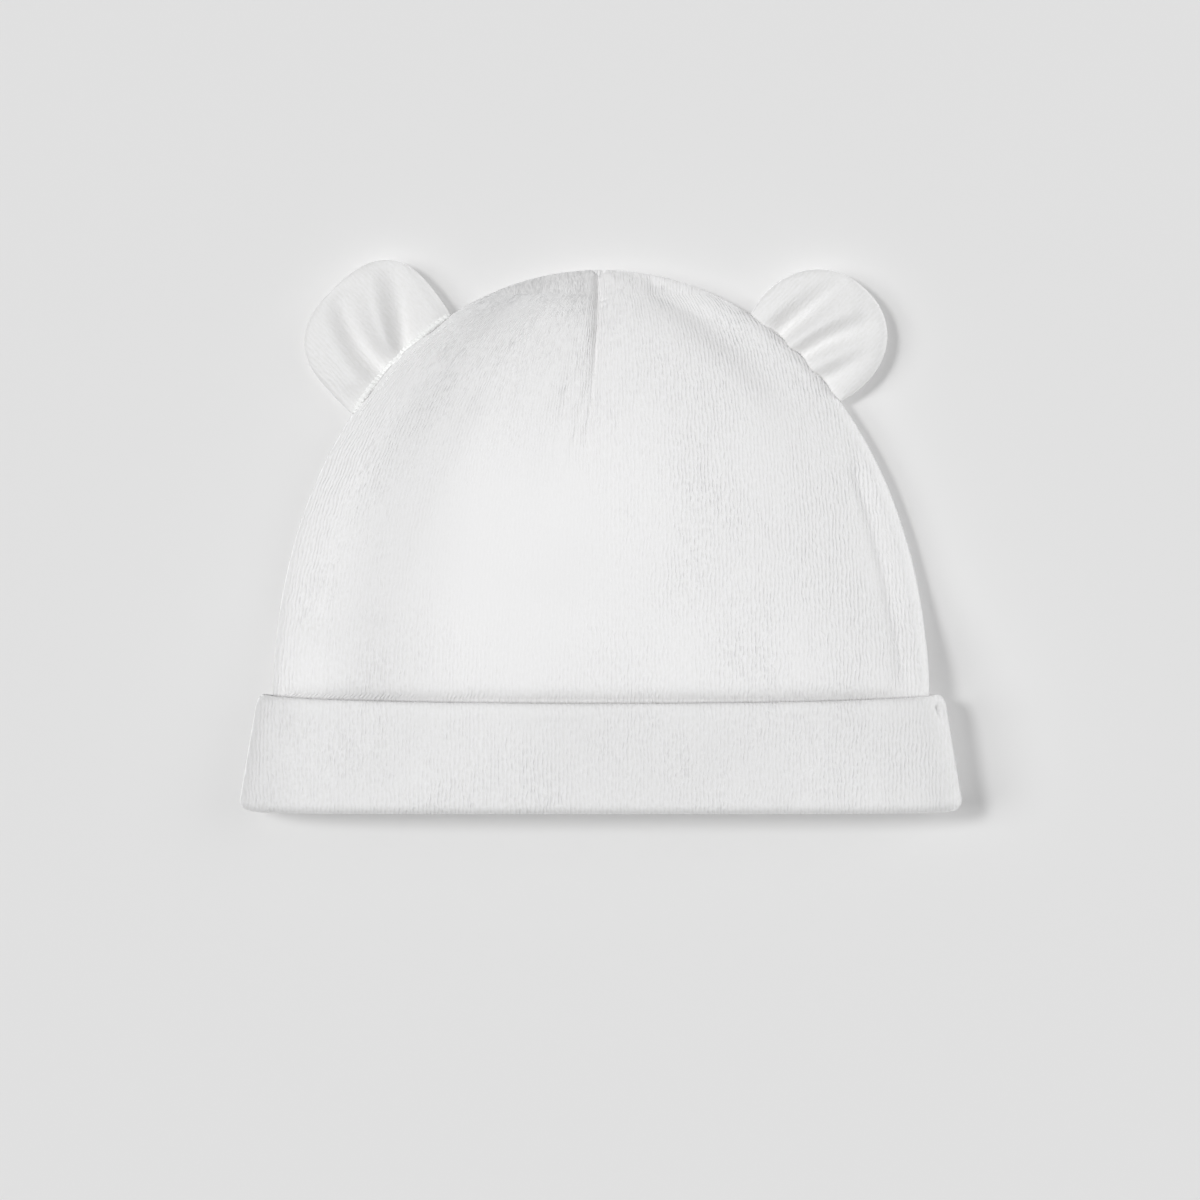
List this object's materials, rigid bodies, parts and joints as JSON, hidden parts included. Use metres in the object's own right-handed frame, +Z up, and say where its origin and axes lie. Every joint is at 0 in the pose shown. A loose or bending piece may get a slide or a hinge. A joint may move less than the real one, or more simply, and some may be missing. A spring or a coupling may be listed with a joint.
{
  "type": "baby hat with ears",
  "caption": "Soft velour baby hat with a domed crown, padded round ears at the side seams and a turned-up doubled cuff, lying flat on its back, to keep a newborn's head warm.",
  "frame": {"origin": "under the middle of the lying hat, on the surface that it rests on", "axes": "+X across the hat towards its right side in the view from above, +Y from the mouth to the top of the crown, +Z up out of the hat's front"},
  "size_m": [0.1848, 0.1416, 0.0253],
  "materials": {
    "white_velour": "matt short pile in fine vertical wales"
  },
  "bodies": {
    "root": {"crown": "white_velour", "cuff": "white_velour", "ear_left": "white_velour", "ear_right": "white_velour"}
  },
  "joints": []
}
